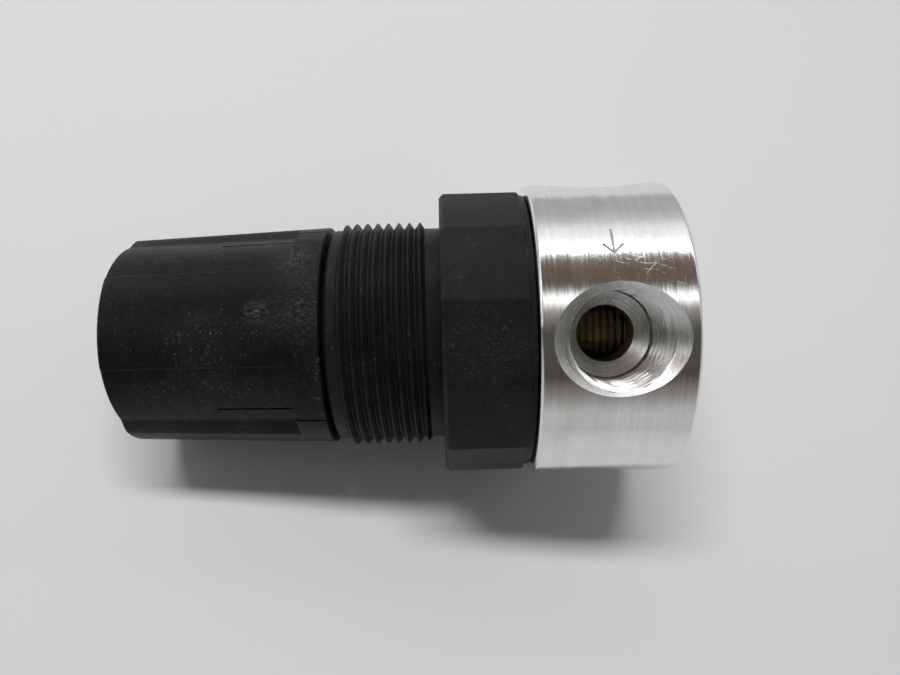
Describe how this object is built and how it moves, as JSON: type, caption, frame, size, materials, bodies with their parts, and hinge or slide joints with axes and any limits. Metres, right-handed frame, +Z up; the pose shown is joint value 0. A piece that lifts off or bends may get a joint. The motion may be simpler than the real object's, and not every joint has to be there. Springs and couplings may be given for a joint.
{
  "type": "air pressure regulator",
  "caption": "Small in-line air pressure regulator: round aluminium body with threaded ports, black bonnet with panel thread and twelve-sided collar, fluted push-to-lock hand knob.",
  "frame": {"origin": "centre of the body's flat bottom face", "axes": "+Z up along the knob's axis from the body to the knob; -Y out of the inlet port, +Y out of the outlet port, +X and -X out of the gauge ports"},
  "size_m": [0.0412, 0.0412, 0.0747],
  "materials": {
    "body": "fine turned, machined",
    "plug_metal": "turned",
    "brass": "machined",
    "steel": "bright",
    "zinc": "plated",
    "rubber": "matte",
    "acetal": "matte",
    "bonnet_plastic": "moulded, fine grain, dusty",
    "knob_plastic": "moulded, satin, dusty"
  },
  "bodies": {
    "housing": {"body": "body", "valve_cartridge": "brass", "valve_seat": "brass", "valve_spring": "steel", "bottom_plug": "plug_metal", "plug_o_ring": "rubber", "gauge_port_plug": "brass", "diaphragm": "rubber", "slip_ring": "acetal", "range_spring": "steel", "thrust_washer": "acetal", "bonnet": "bonnet_plastic"},
    "screw": {"adjusting_screw": "steel", "screw_clip": "steel"},
    "hand_knob": {"knob": "knob_plastic"},
    "nut": {"adjusting_nut": "zinc"},
    "diaphragm_stack": {"relief_hub": "brass", "diaphragm_plate": "zinc", "hub_nut": "zinc"},
    "valve": {"valve_poppet": "brass", "valve_disc": "rubber", "valve_pin": "steel"}
  },
  "joints": [
    {"name": "knob_turn", "type": "hinge", "parent": "housing", "child": "screw", "pos_m": [0, 0, 0.05], "axis": [0, 0, -1], "range_deg": [0, 1440]},
    {"name": "knob_pull", "type": "slide", "parent": "screw", "child": "hand_knob", "axis": [0, 0, 1], "range_m": [0, 0.0024]},
    {"name": "nut_travel", "type": "slide", "parent": "housing", "child": "nut", "axis": [0, 0, -1], "range_m": [0, 0.005], "deforming": ["range_spring"]},
    {"name": "diaphragm_travel", "type": "slide", "parent": "housing", "child": "diaphragm_stack", "axis": [0, 0, -1], "range_m": [0, 0.0008], "stiffness_N_per_m": 3000, "deforming": ["diaphragm"]},
    {"name": "valve_travel", "type": "slide", "parent": "housing", "child": "valve", "axis": [0, 0, -1], "range_m": [0, 0.0008], "stiffness_N_per_m": 800, "deforming": ["valve_spring"]}
  ],
  "couplings": [
    {"joint": "knob_turn", "follows": "nut_travel", "rad_per_m": 5026.5},
    {"joint": "valve_travel", "follows": "diaphragm_travel", "ratio": 1}
  ]
}
